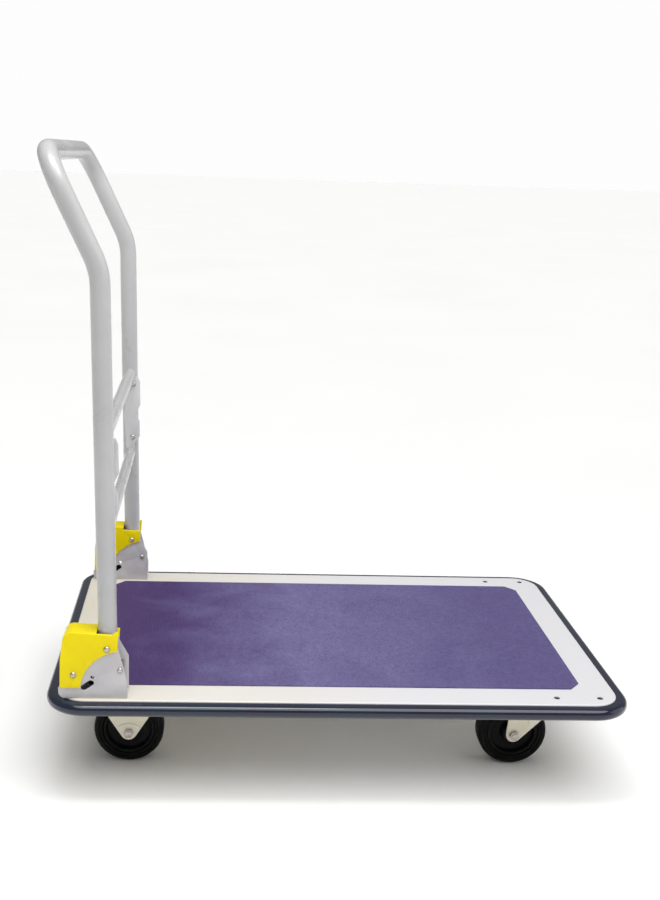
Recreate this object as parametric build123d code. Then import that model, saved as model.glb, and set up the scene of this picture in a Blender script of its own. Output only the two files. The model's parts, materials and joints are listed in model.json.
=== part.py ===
from build123d import *
from math import cos, radians, sin
import os

# Flatbed platform truck with a folding handle, in millimetres.
# The origin is on the floor under the middle of the deck. +X points away from the handle, +Z up.
# Left is +Y, right is -Y, as seen by the person who pushes. Rear is the handle end.

# Deck
deck_length = 800.0
deck_width = 517.0
deck_corner = 55.0
bumper_width = 15.7
bumper_height = 16.5
bumper_drop = 2.0
bumper_round = 7.6
sheet = 1.6
rim_depth = 20.0
press_radius = 2.4
mat_thickness = 2.0
mat_end_border = 44.0
mat_side_border = 46.4
mat_chamfer_long = 15.5
mat_chamfer_across = 17.5
mat_corner_round = 5.0

# Channels and ribs under the deck
channel_width = 110.0
channel_side_inset = 58.5
channel_height = 18.4
channel_wall = 2.5
channel_flange = 12.0
rib_width = 40.0
rib_spread = 150.0
rib_wall = 1.6
rib_end_gap = 1.0

# Wheels and casters
wheel_diameter = 100.0
wheel_width = 30.0
wheel_side_inset = 128.5
hub_gap = 0.3
hub_width = 36.4
rim_radius = 37.0
core_wall = 5.0
web_thickness = 9.0
hub_radius = 14.0
bush_wall = 3.0
axle_radius = 4.0
running_clearance = 0.05
caster_head = 26.0
plate_thickness = 3.5
plate_corner = 8.0
plate_hole_spacing_x = 80.0
plate_end_margin = 10.0
plate_side_margin = 12.5
bolt_head_gap = 2.5
fork_wall = 2.5
fork_end_radius = 12.0
rear_axle_inset = 106.2
front_kingpin_inset = 106.0
caster_trail = 30.0
race_radius = 20.0
ball_radius = 3.0
ball_count = 16
race_gap = 0.3
race_cup_radius = 27.0
kingpin_radius = 6.0
kingpin_head_radius = 10.0
kingpin_head = 4.0
crown_thickness = 3.0
crown_back = 36.0
race_seat = 4.0
race_lip = 2.0
kingpin_head_clearance = 2.0
rigid_leg_half = ((28.0, 22.0), (38.0, 45.0))
rigid_leg_top_half = 42.0
swivel_leg_heel = (-11.0, 6.0)
swivel_leg_toe = (38.2, 24.0)
swivel_leg_front_margin = 5.0
swivel_leg_front_drop = 18.0
swivel_end_radius = 11.0
rim_side_step = 1.0
web_flare = 3.0
hub_end_step = 2.0
tyre_bead = 1.5
tyre_shoulder = 5.0
tyre_shoulder_side = 1.6
tyre_shoulder_top = 1.8

# Bolts
bolt_radius = 4.0
bolt_clearance = 0.25
bolt_head_radius = 6.5
bolt_head = 5.0
nut_height = 6.0
axle_head_radius = 7.0
axle_head = 5.0
thread_end = 1.0
bracket_bolt_end = 2.0

# Handle, measured from its pivot
tube_diameter = 25.4
tube_wall = 1.6
leg_inset = 36.15
pivot_inset = 84.9
pivot_height = 71.8
handle_lean = 0.69
handle_tail = 50.6
knee_rise = 489.7
crank_length = 153.0
crank_angle = 24.8
knee_radius = 90.0
grip_corner_radius = 55.0
upper_bar_diameter = 17.3
upper_bar_rise = 280.2

# Hinge brackets and covers, measured from the pivot
moving_gap = 0.3
cheek = 2.0
bracket_front = 26.4
bracket_back = 64.9
outer_shoulder = 24.0
inner_shoulder = 50.0
bracket_hole_inset = 42.3
bracket_hole_spacing = 60.3
pivot_radius = 3.0
pivot_bush_radius = 4.6
pivot_bush_gap = 0.1
rivet_shank_radius = 2.5
rivet_head_radius = 4.6
rivet_head = 2.4
head_flat_share = 0.55
head_brow_share = 0.9
head_brow_rise = 0.45
spacer_offset = (-44.6, -37.2)
spacer_radius = 4.4
stop_drop = 30.6
stop_radius = 3.8
stop_head_radius = 4.0
cheek_crown = ((14.7, -0.5), (10.0, 14.0), (-20.0, 18.5), (-46.0, 14.5), (-55.8, 6.0), (-59.2, -15.8))
cheek_heel_back = -60.2
cheek_heel_rise = 15.3
cheek_heel_round = 9.0
cover_wall = 2.2
cover_round = 1.5
cover_corner = 13.0
cover_foot = (-62.9, -56.0)
cover_hip = (-61.9, -15.8)
cover_roof_corner = (-56.5, 24.5)
cover_lip = ((7.5, 20.6), (12.8, 25.0), (15.4, 25.0), (13.4, -3.3))
cover_inner_top = 16.8
cover_scoop = (-17.4, -18.4)
cover_scoop_end = (-35.7, -56.0)
cover_mouth_x = 20.0
cover_mouth_z = 21.0
cover_tube_gap = 1.0

# Lock pins and their inclined slots
slot_offset = (-26.4, -52.9)
slot_angle = 35.0
slot_width = 8.0
slot_travel = 11.5
lock_pin_recess = 0.8
latch_arm_reach = 27.5
latch_arm_width = 13.0
latch_arm_thickness = 3.5
latch_arm_drop = 3.1
latch_arm_overlap = 3.0
spare_hole_offset = (-19.7, -41.2)
spare_hole_radius = 2.5
latch_spring_radius = 4.5
latch_spring_wall = 1.2
latch_spring_reach = 16.5

# Release gear, measured along the legs from the pivot
release_travel = 12.0
release_bar_diameter = 16.0
release_bar_rise = 150.7
plate_sheet = 2.0
bar_notch_gap = 1.0
plate_tongue_inset = 1.0
plate_front = (
    (17.0, None), (21.0, 11.0), (29.0, 15.5), (53.0, 15.5),
    (67.0, 10.5), (82.0, 17.3), (119.0, 17.3), (127.5, 14.0))
plate_back = ((127.5, -7.5), (79.0, -7.8), (64.0, -9.5), (22.0, None))
rod_bar_width = 19.0
rod_bar_thickness = 5.0
rod_bar_bottom = 60.0
rod_bar_top = 275.0
rod_radius = 2.0
rod_offset = 7.2
rod_drop = 43.4
rod_pin_radius = 2.5
rod_pin_head_radius = 4.5
rod_pin_head = 2.4
rod_pins_at = ((6.0, 266.2), (4.0, 178.0))
return_spring_radius = 5.0
return_spring_wall = 1.2

# What follows from the sizes above
tray_length = deck_length - 2 * bumper_width
tray_width = deck_width - 2 * bumper_width
tray_corner = deck_corner - bumper_width
wheel_radius = wheel_diameter / 2
caster_top = wheel_diameter + caster_head
deck_under = caster_top + channel_height
deck_top = deck_under + sheet
bush_radius = axle_radius + bush_wall
hub_half = hub_width / 2
fork_inner = hub_half + hub_gap
fork_outer = fork_inner + fork_wall
rear_axle_x = rear_axle_inset - deck_length / 2
kingpin_x = deck_length / 2 - front_kingpin_inset
front_axle_x = kingpin_x - caster_trail
wheel_y = deck_width / 2 - wheel_side_inset
channel_length = deck_width - 2 * channel_side_inset
plate_hole_spacing_y = 2 * (fork_outer + bolt_head_gap + bolt_head_radius)
plate_length = plate_hole_spacing_x + 2 * plate_end_margin
plate_width = plate_hole_spacing_y + 2 * plate_side_margin
plate_under = caster_top - plate_thickness
ball_z = plate_under - race_seat - race_gap - ball_radius
crown_top = ball_z - ball_radius
crown_under = crown_top - crown_thickness

tube_radius = tube_diameter / 2
leg_y = deck_width / 2 - leg_inset
pivot_x = pivot_inset - deck_length / 2
pivot_z = deck_top + pivot_height
cheek_inner = tube_radius + moving_gap
cheek_outer = cheek_inner + cheek
cover_outer = cheek_outer + cover_wall
hole_x_inner = deck_length / 2 - bracket_hole_inset - bracket_hole_spacing
hole_x_outer = deck_length / 2 - bracket_hole_inset
plate_y = leg_y - tube_radius - moving_gap - plate_sheet / 2
plate_face_y = plate_y - plate_sheet / 2
handle_frame = Pos(pivot_x, 0, pivot_z) * Rot(0, -handle_lean, 0)


def save(name, shape):
    solids = shape if isinstance(shape, list) else [shape]
    whole = solids[0] if len(solids) == 1 else Compound(children=solids)
    whole.label = name
    export_step(whole, f"parts/{name}.step")


def single(shape):
    return shape.solids()[0]


def bar_y(radius, length, x=0.0, y=0.0, z=0.0):
    return Pos(x, y, z) * Rot(90, 0, 0) * Cylinder(radius, length)


def turned(points, x=0.0, y=0.0, z=0.0):
    # a body of revolution about an axis along Y, from (along the axis, radius) points
    profile = Plane.YZ * make_face(Polyline(*points, close=True))
    return Pos(x, y, z) * revolve(profile, Axis.Y)


def side_slab(profile, thickness, y):
    # a flat piece that stands in the XZ plane
    return Pos(0, y, 0) * extrude(Plane.XZ * profile, amount=thickness / 2, both=True)


def rounded_slab(length, width, radius, bottom, top):
    return Pos(0, 0, bottom) * extrude(RectangleRounded(length, width, radius), amount=top - bottom)


def mirrored(shape):
    return mirror(shape, about=Plane.XZ)


def hex_piece(radius, height, bottom, x, y):
    return Pos(x, y, bottom) * extrude(RegularPolygon(radius, 6), amount=height)


# Deck

def bracket_holes():
    holes = []
    for x in (-hole_x_outer, -hole_x_inner, hole_x_inner, hole_x_outer):
        for y in (-leg_y, leg_y):
            holes.append(Pos(x, y, deck_top) * Cylinder(bolt_radius + bolt_clearance, 4 * sheet))
    return holes


def deck_tray():
    rim_bottom = deck_top - rim_depth
    shell = rounded_slab(tray_length, tray_width, tray_corner, rim_bottom, deck_top)
    shell = fillet(shell.edges().group_by(Axis.Z)[-1], press_radius)
    hollow = rounded_slab(tray_length - 2 * sheet, tray_width - 2 * sheet, tray_corner - sheet,
                          rim_bottom, deck_under)
    tray = shell - hollow
    for hole in bracket_holes():
        tray -= hole
    return single(tray)


def deck_bumper():
    top = deck_top - bumper_drop
    bottom = top - bumper_height
    ring = rounded_slab(deck_length, deck_width, deck_corner, bottom, top)
    rims = ring.edges().group_by(Axis.Z)
    ring = fillet(rims[0] + rims[-1], bumper_round)
    return single(ring - rounded_slab(tray_length, tray_width, tray_corner, bottom - 1, top + 1))


def grip_mat():
    half_x = tray_length / 2 - mat_end_border
    half_y = tray_width / 2 - mat_side_border
    inner_x = half_x - mat_chamfer_long
    inner_y = half_y - mat_chamfer_across
    quarter = [(half_x, inner_y), (inner_x, half_y)]
    half = quarter + [(-x, y) for x, y in reversed(quarter)]
    points = half + [(x, -y) for x, y in reversed(half)]
    outline = make_face(Polyline(*points, close=True))
    outline = fillet(outline.vertices(), mat_corner_round)
    return single(Pos(0, 0, deck_top) * extrude(outline, amount=mat_thickness))


def hat_channel(length, width, wall, flange):
    # an open channel along X with its web down and welding flanges at the top
    top = deck_under
    web = Pos(0, 0, caster_top) * Box(length, width, wall, align=(Align.CENTER, Align.CENTER, Align.MIN))
    channel = web
    for side in (-1, 1):
        wall_y = side * (width - wall) / 2
        flange_y = side * (width / 2 + flange / 2 - wall / 2)
        channel += Pos(0, wall_y, caster_top) * Box(
            length, wall, top - caster_top, align=(Align.CENTER, Align.CENTER, Align.MIN))
        channel += Pos(0, flange_y, top) * Box(
            length, flange + wall, wall, align=(Align.CENTER, Align.CENTER, Align.MAX))
    return channel


def plate_hole_points(centre_x, centre_y):
    half_x = plate_hole_spacing_x / 2
    half_y = plate_hole_spacing_y / 2
    return [(centre_x + sx * half_x, centre_y + sy * half_y) for sx in (-1, 1) for sy in (-1, 1)]


def caster_places():
    return [(x, side * wheel_y) for x in (rear_axle_x, kingpin_x) for side in (-1, 1)]


def bolt_hole(x, y):
    return Pos(x, y, caster_top) * Cylinder(bolt_radius + bolt_clearance, 4 * plate_thickness)


def cross_channels():
    channels = []
    for x in (rear_axle_x, kingpin_x):
        channel = Pos(x, 0, 0) * Rot(0, 0, 90) * hat_channel(
            channel_length, channel_width, channel_wall, channel_flange)
        for side in (-1, 1):
            for px, py in plate_hole_points(x, side * wheel_y):
                channel -= bolt_hole(px, py)
            if x == kingpin_x:
                head_hole = Cylinder(kingpin_head_radius + kingpin_head_clearance, 4 * channel_wall)
                channel -= Pos(x, side * wheel_y, caster_top) * head_hole
        channels.append(single(channel))
    return channels


def centre_ribs():
    margin = channel_width / 2 + channel_flange + rib_end_gap
    start = rear_axle_x + margin
    end = kingpin_x - margin
    rib = Pos((start + end) / 2, 0, 0) * hat_channel(end - start, rib_width, rib_wall, channel_flange)
    return [single(Pos(0, side * rib_spread / 2, 0) * rib) for side in (-1, 1)]


# Hinge brackets, covers and rivets

def from_pivot(offset):
    return (pivot_x + offset[0], pivot_z + offset[1])


def cheek_face(shoulder):
    front = bracket_front
    back = -bracket_back
    foot = -pivot_height
    heel = foot + cheek_heel_rise
    points = [
        (back, foot), (front, foot), (front, foot + shoulder), *cheek_crown,
        (cheek_heel_back, heel), (back, heel)]
    face = make_face(Polyline(*[from_pivot(p) for p in points], close=True))
    lower_back = face.vertices().sort_by(Axis.X)[0]
    face = fillet(lower_back, cheek_heel_round)
    for offset, radius in ((spacer_offset, rivet_shank_radius), (spare_hole_offset, spare_hole_radius),
                           ((0, 0), pivot_radius)):
        x, z = from_pivot(offset)
        face -= Pos(x, z) * Circle(radius)
    x, z = from_pivot((stop_x_offset(), -stop_drop))
    face -= Pos(x, z) * Circle(rivet_shank_radius)
    x, z = from_pivot(slot_offset)
    face -= Pos(x, z) * Rot(0, 0, slot_angle) * SlotCenterToCenter(slot_travel, slot_width)
    return face


def stop_x_offset():
    # the stop rivet stands beside the leg, which leans by handle_lean
    leg_x = stop_drop * sin(radians(handle_lean))
    return leg_x + tube_radius / cos(radians(handle_lean)) + moving_gap + stop_radius


def hinge_bracket():
    middle = (cheek_inner + cheek_outer) / 2
    bracket = side_slab(cheek_face(outer_shoulder), cheek, leg_y + middle)
    bracket += side_slab(cheek_face(inner_shoulder), cheek, leg_y - middle)
    length = bracket_front + bracket_back - cheek_heel_round
    foot = Pos(pivot_x + bracket_front - length / 2, leg_y, deck_top) * Box(
        length, 2 * cheek_outer, cheek, align=(Align.CENTER, Align.CENTER, Align.MIN))
    bracket += foot
    for x in (-hole_x_outer, -hole_x_inner):
        bracket -= Pos(x, leg_y, deck_top) * Cylinder(bolt_radius + bolt_clearance, 4 * cheek)
    return single(bracket)


def cover_outline(inset, reach):
    # the cover's side, drawn in by inset at its back and roof, and run out by reach in front and below
    roof_corner = (cover_roof_corner[0] + inset, cover_roof_corner[1] - inset)
    back = [(cover_foot[0] + inset, cover_foot[1] - reach), (cover_hip[0] + inset, cover_hip[1]), roof_corner]
    if reach:
        mouth = cover_mouth_x + reach
        points = back + [(mouth, cover_mouth_z - inset), (mouth, cover_foot[1] - reach)]
        face = make_face(Polyline(*[from_pivot(p) for p in points], close=True))
    else:
        line = Polyline(*[from_pivot(p) for p in [cover_scoop_end, *back, *cover_lip]])
        arc = ThreePointArc(from_pivot(cover_lip[-1]), from_pivot(cover_scoop), from_pivot(cover_scoop_end))
        face = make_face([line, arc])
    x, z = from_pivot(roof_corner)
    corner_vertex = face.vertices().sort_by_distance((x, z, 0))[0]
    return fillet(corner_vertex, cover_corner - inset)


def hinge_cover():
    block = side_slab(cover_outline(0.0, 0.0), 2 * cover_outer, leg_y)
    outline = block.faces().filter_by(Plane.XZ).edges()
    back_x = pivot_x + cover_roof_corner[0]
    roof_z = pivot_z + tube_radius / 2
    back = outline.filter_by(lambda edge: edge.center().X < back_x and edge.center().Z < pivot_z)
    roof = outline.filter_by(lambda edge: edge.center().X < pivot_x and edge.center().Z > roof_z)
    block = fillet(back + roof, cover_round)
    cover = block - side_slab(cover_outline(cover_wall, 40.0), 2 * cheek_outer, leg_y)
    tube_back = pivot_x - tube_radius - cover_tube_gap
    cover -= Pos(tube_back, leg_y, pivot_z) * Box(
        2 * bracket_back, 2 * cheek_outer, 2 * bracket_back, align=(Align.MIN, Align.CENTER, Align.MIN))
    # only the outer side carries the lip; the inner side stops lower, in front of the tube
    cover -= Pos(tube_back, leg_y, pivot_z + cover_inner_top) * Box(
        2 * bracket_back, 2 * cover_outer, 2 * bracket_back, align=(Align.MIN, Align.MAX, Align.MIN))
    for offset, radius in (((0, 0), pivot_radius), (spacer_offset, rivet_shank_radius)):
        x, z = from_pivot(offset)
        cover -= bar_y(radius, 4 * cover_outer, x, leg_y, z)
    return single(cover)


def domed_head(face, direction, radius, height):
    # from the rim of a rivet head to its axis; the head seats at face and rises along direction
    return [
        (face, radius), (face + direction * height * head_brow_rise, radius * head_brow_share),
        (face + direction * height, radius * head_flat_share), (face + direction * height, 0)]


def rivet(offset, middle, head, outer):
    # a rivet along Y through one bracket, with a head at each end; middle is the outline between them
    x, z = from_pivot(offset)
    near = domed_head(-outer, -1, head, rivet_head)
    far = domed_head(outer, 1, head, rivet_head)
    return turned(near[::-1] + middle + far, x, leg_y, z)


def shouldered(shank, shoulder, outer):
    # the shank through each wall, with a thicker shoulder that keeps the cheeks apart
    half = [(cheek_inner, shoulder), (cheek_inner, shank), (outer, shank)]
    return [(-y, radius) for y, radius in reversed(half)] + half


def on_both_sides(shape):
    return [shape, mirrored(shape)]


def pivot_rivet():
    shank = [(-cover_outer, pivot_radius), (cover_outer, pivot_radius)]
    return rivet((0, 0), shank, rivet_head_radius, cover_outer)


def spacer_rivet():
    middle = shouldered(rivet_shank_radius, spacer_radius, cover_outer)
    return rivet(spacer_offset, middle, rivet_head_radius, cover_outer)


def stop_rivet():
    middle = shouldered(rivet_shank_radius, stop_radius, cheek_outer)
    return rivet((stop_x_offset(), -stop_drop), middle, stop_head_radius, cheek_outer)


def bracket_bolts():
    bolts = []
    for x in (-hole_x_outer, -hole_x_inner):
        head_bottom = deck_top + cheek
        bolt = hex_piece(bolt_head_radius, bolt_head, head_bottom, x, leg_y)
        length = cheek + sheet + nut_height + bracket_bolt_end
        bolt += Pos(x, leg_y, head_bottom - length) * Cylinder(
            bolt_radius, length, align=(Align.CENTER, Align.CENTER, Align.MIN))
        bolts += on_both_sides(single(bolt))
    return bolts


def bracket_nuts():
    nuts = []
    for x in (-hole_x_outer, -hole_x_inner):
        nut = hex_piece(bolt_head_radius, nut_height, deck_under - nut_height, x, leg_y)
        nut -= Pos(x, leg_y, deck_under) * Cylinder(bolt_radius, 4 * nut_height)
        nuts += on_both_sides(single(nut))
    return nuts


def lock_pin():
    x, z = from_pivot(slot_offset)
    pin = bar_y(slot_width / 2 - moving_gap, 2 * (cheek_outer - lock_pin_recess), x, leg_y, z)
    arm = Pos(x - latch_arm_overlap, leg_y, z - latch_arm_drop) * Box(
        latch_arm_reach + latch_arm_overlap, latch_arm_width, latch_arm_thickness,
        align=(Align.MIN, Align.CENTER, Align.MIN))
    return single(pin + arm)


def latch_spring():
    x, z = from_pivot(slot_offset)
    bottom = deck_top + cheek
    height = z - latch_arm_drop - bottom
    ring = Circle(latch_spring_radius) - Circle(latch_spring_radius - latch_spring_wall)
    return single(Pos(x + latch_spring_reach, leg_y, bottom) * extrude(ring, amount=height))


# Handle and release gear

def leg_cylinder(radius, side):
    return Pos(0, side * leg_y, 0) * Cylinder(
        radius, knee_rise, align=(Align.CENTER, Align.CENTER, Align.MIN))


def pin_slot(offset, rise, side):
    width = 2 * (rod_pin_radius + moving_gap)
    length = release_travel + width
    slot = Pos(offset, 0, rise + width / 2) * Box(
        width, tube_radius, length, align=(Align.CENTER, Align.CENTER, Align.MAX))
    return Pos(0, side * (leg_y - tube_radius / 2 - rod_bar_thickness / 2), 0) * slot


def handle_tube():
    slant = radians(crank_angle)
    grip_u = -crank_length * sin(slant)
    grip_w = knee_rise + crank_length * cos(slant)
    path = FilletPolyline(
        (0, leg_y, -handle_tail), (0, leg_y, knee_rise), (grip_u, leg_y, grip_w),
        (grip_u, -leg_y, grip_w), (0, -leg_y, knee_rise), (0, -leg_y, -handle_tail),
        radius=[knee_radius, grip_corner_radius, grip_corner_radius, knee_radius])
    start = Pos(0, leg_y, -handle_tail)
    tube = sweep(start * Circle(tube_radius), path=path)
    tube -= sweep(start * Circle(tube_radius - tube_wall), path=path)
    for side in (-1, 1):
        tube -= bar_y(pivot_bush_radius, 2 * tube_diameter, 0, side * leg_y, 0)
        for offset, rise in rod_pins_at:
            tube -= pin_slot(offset, rise, side)
    return single(handle_frame * tube)


def upper_crossbar():
    bar = bar_y(upper_bar_diameter / 2, 2 * leg_y, 0, 0, upper_bar_rise)
    for side in (-1, 1):
        bar -= leg_cylinder(tube_radius, side)
    return single(handle_frame * bar)


def pivot_bushes():
    half = cheek_inner - pivot_bush_gap
    bush = turned([(-half, pivot_radius + running_clearance), (half, pivot_radius + running_clearance),
                   (half, pivot_bush_radius), (-half, pivot_bush_radius)])
    return [single(handle_frame * Pos(0, side * leg_y, 0) * bush) for side in (-1, 1)]


def release_plate():
    # a pressed plate with a tongue round the release bar and a wing over the rod pins
    tongue = release_bar_diameter / 2 - plate_tongue_inset
    low = release_bar_rise
    front = [(tongue if x is None else x, low + rise) for rise, x in plate_front]
    back = [(-tongue if x is None else x, low + rise) for rise, x in plate_back]
    outline = [(-tongue, low), (tongue, low), *front, *back]
    face = make_face(Polyline(*outline, close=True))
    face += Pos(0, low) * Circle(tongue)
    face -= Pos(0, upper_bar_rise) * Circle(upper_bar_diameter / 2 + bar_notch_gap)
    for offset, rise in rod_pins_at:
        face -= Pos(offset, rise) * Circle(rod_pin_radius)
    plate = side_slab(face, plate_sheet, plate_y)
    return handle_frame * plate.solids().sort_by(SortBy.VOLUME)[-1]


def release_bar():
    return handle_frame * bar_y(release_bar_diameter / 2, 2 * plate_face_y, 0, 0, release_bar_rise)


def push_rods():
    rods = []
    for side in (-1, 1):
        bar = Pos(0, 0, rod_bar_bottom) * Box(
            rod_bar_width, rod_bar_thickness, rod_bar_top - rod_bar_bottom,
            align=(Align.CENTER, Align.CENTER, Align.MIN))
        for offset, rise in rod_pins_at:
            bar -= bar_y(rod_pin_radius, 4 * rod_bar_thickness, offset, 0, rise)
        bar += Pos(-rod_offset, 0, -rod_drop) * Cylinder(
            rod_radius, rod_drop + rod_bar_bottom, align=(Align.CENTER, Align.CENTER, Align.MIN))
        rods.append(single(handle_frame * Pos(0, side * leg_y, 0) * bar))
    return rods


def rod_pin(offset, rise):
    end = leg_y + rod_bar_thickness / 2
    head = domed_head(plate_face_y, -1, rod_pin_head_radius, rod_pin_head)
    return turned(head[::-1] + [(plate_face_y, rod_pin_radius), (end, rod_pin_radius), (end, 0)], offset, 0, rise)


def rod_pins():
    pins = []
    for offset, rise in rod_pins_at:
        pin = rod_pin(offset, rise)
        pins += [single(handle_frame * pin), single(handle_frame * mirrored(pin))]
    return pins


def return_springs():
    bottom = pivot_bush_radius
    ring = Circle(return_spring_radius) - Circle(return_spring_radius - return_spring_wall)
    spring = Pos(0, 0, bottom) * extrude(ring, amount=rod_bar_bottom - bottom)
    return [single(handle_frame * Pos(0, side * leg_y, 0) * spring) for side in (-1, 1)]


# Casters

def top_plate(x, y):
    outline = RectangleRounded(plate_length, plate_width, plate_corner)
    plate = Pos(x, y, plate_under) * extrude(outline, amount=plate_thickness)
    for px, py in plate_hole_points(x, y):
        plate -= bolt_hole(px, py)
    return plate


def fork_leg(points, axle, end_radius):
    # a leg that narrows to a round end about its axle
    centre = Pos(*axle)
    end = centre * Circle(end_radius)
    hull = make_hull(end.edges() + Polyline(*points, close=True).edges())
    return hull - centre * Circle(axle_radius)


def rigid_leg_face():
    top = plate_under - wheel_radius
    half = [*rigid_leg_half, (rigid_leg_top_half, top)]
    points = [(x, wheel_radius + z) for x, z in half]
    points += [(-x, wheel_radius + z) for x, z in reversed(half)]
    return fork_leg(points, (0.0, wheel_radius), fork_end_radius)


def rigid_fork():
    middle = (fork_inner + fork_outer) / 2
    fork = top_plate(rear_axle_x, wheel_y)
    for side in (-1, 1):
        leg = side_slab(rigid_leg_face(), fork_wall, 0)
        fork += Pos(rear_axle_x, wheel_y + side * middle, 0) * leg
    return single(fork)


def swivel_leg_face():
    heel_x, heel_rise = swivel_leg_heel
    toe_x, toe_rise = swivel_leg_toe
    front = race_cup_radius - swivel_leg_front_margin
    points = [
        (heel_x - caster_trail, wheel_radius + heel_rise), (-crown_back, crown_top), (front, crown_top),
        (front, crown_top - swivel_leg_front_drop), (toe_x - caster_trail, wheel_radius + toe_rise)]
    return fork_leg(points, (-caster_trail, wheel_radius), swivel_end_radius)


def swivel_fork():
    crown = Cylinder(race_cup_radius, crown_thickness, align=(Align.CENTER, Align.CENTER, Align.MIN))
    crown += Pos(-crown_back, 0, 0) * Box(
        crown_back, 2 * fork_outer, crown_thickness, align=(Align.MIN, Align.CENTER, Align.MIN))
    fork = Pos(0, 0, crown_under) * crown
    middle = (fork_inner + fork_outer) / 2
    for side in (-1, 1):
        fork += side_slab(swivel_leg_face(), fork_wall, side * middle)
    fork -= Pos(0, 0, crown_under) * Cylinder(kingpin_radius + running_clearance, 4 * crown_thickness)
    return single(Pos(kingpin_x, wheel_y, 0) * fork)


def swivel_plate():
    plate = top_plate(kingpin_x, wheel_y)
    race_bottom = ball_z + ball_radius + race_gap
    cup_bottom = crown_top + 2 * race_gap
    race = Circle(race_radius + ball_radius + race_gap) - Circle(race_radius - ball_radius - race_lip)
    cup = Circle(race_cup_radius) - Circle(race_radius + ball_radius + race_gap)
    centre = Pos(kingpin_x, wheel_y, 0)
    plate += centre * Pos(0, 0, race_bottom) * extrude(race, amount=plate_under - race_bottom)
    plate += centre * Pos(0, 0, cup_bottom) * extrude(cup, amount=plate_under - cup_bottom)
    plate -= centre * Pos(0, 0, plate_under) * Cylinder(kingpin_radius, 4 * plate_thickness)
    return single(plate)


def swivel_balls():
    balls = []
    for index in range(ball_count):
        turn = radians(360.0 * index / ball_count)
        place = Pos(kingpin_x + race_radius * cos(turn), wheel_y + race_radius * sin(turn), ball_z)
        balls.append(place * Sphere(ball_radius))
    return balls


def kingpin():
    centre = Pos(kingpin_x, wheel_y, 0)
    low_head_top = crown_under - race_gap
    up = (Align.CENTER, Align.CENTER, Align.MIN)
    pin = Pos(0, 0, low_head_top) * Cylinder(kingpin_radius, caster_top - low_head_top, align=up)
    pin += Pos(0, 0, caster_top) * Cylinder(kingpin_head_radius, kingpin_head, align=up)
    pin += Pos(0, 0, low_head_top - kingpin_head) * Cylinder(kingpin_head_radius, kingpin_head, align=up)
    return single(centre * pin)


def axle_bolt(x, y, outward):
    # the head is on the inner side of the caster and the nut on its outer side
    end = fork_outer + nut_height + thread_end
    bolt = turned([(-fork_outer, 0), (-fork_outer, axle_radius), (end, axle_radius), (end, 0)])
    head = Pos(0, -fork_outer, 0) * Rot(90, 0, 0) * extrude(RegularPolygon(axle_head_radius, 6), amount=axle_head)
    whole = bolt + head
    return single(Pos(x, y, wheel_radius) * (whole if outward > 0 else mirrored(whole)))


def axle_nut(x, y, outward):
    nut = Pos(0, fork_outer, 0) * Rot(-90, 0, 0) * extrude(RegularPolygon(axle_head_radius, 6), amount=nut_height)
    nut -= bar_y(axle_radius, 8 * nut_height, 0, fork_outer, 0)
    return single(Pos(x, y, wheel_radius) * (nut if outward > 0 else mirrored(nut)))


def both_halves(half):
    # a wheel's section from its right half, listed from the bore outwards
    return half + [(-y, radius) for y, radius in reversed(half)]


def wheel_core(x, y):
    half_rim = wheel_width / 2 - rim_side_step
    half_hub = hub_half - hub_end_step
    half_web = web_thickness / 2
    inner_rim = rim_radius - core_wall
    half = [
        (half_hub, bush_radius), (half_hub, hub_radius), (half_web, hub_radius + web_flare),
        (half_web, inner_rim - web_flare), (half_rim, inner_rim), (half_rim, rim_radius)]
    return single(turned(both_halves(half), x, y, wheel_radius))


def tyre(x, y):
    side = wheel_width / 2
    tread = wheel_radius
    half = [
        (side - rim_side_step, rim_radius), (side, rim_radius + tyre_bead), (side, tread - tyre_shoulder),
        (side - tyre_shoulder_side, tread - tyre_shoulder_top), (side - tyre_shoulder, tread)]
    return single(turned(both_halves(half), x, y, wheel_radius))


def wheel_bush(x, y):
    bore = axle_radius + running_clearance
    points = [(-hub_half, bore), (hub_half, bore), (hub_half, bush_radius), (-hub_half, bush_radius)]
    return single(turned(points, x, y, wheel_radius))


def caster_bolts():
    bolts = []
    length = plate_thickness + channel_wall + nut_height + thread_end
    for cx, cy in caster_places():
        for x, y in plate_hole_points(cx, cy):
            bolt = hex_piece(bolt_head_radius, bolt_head, plate_under - bolt_head, x, y)
            bolt += Pos(x, y, plate_under) * Cylinder(
                bolt_radius, length, align=(Align.CENTER, Align.CENTER, Align.MIN))
            bolts.append(single(bolt))
    return bolts


def caster_nuts():
    nuts = []
    for cx, cy in caster_places():
        for x, y in plate_hole_points(cx, cy):
            nut = hex_piece(bolt_head_radius, nut_height, caster_top + channel_wall, x, y)
            nuts.append(single(nut - Pos(x, y, caster_top) * Cylinder(bolt_radius, 8 * nut_height)))
    return nuts


def save_pair(name, shape):
    save(f"{name}_left", shape)
    save(f"{name}_right", mirrored(shape))


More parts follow.
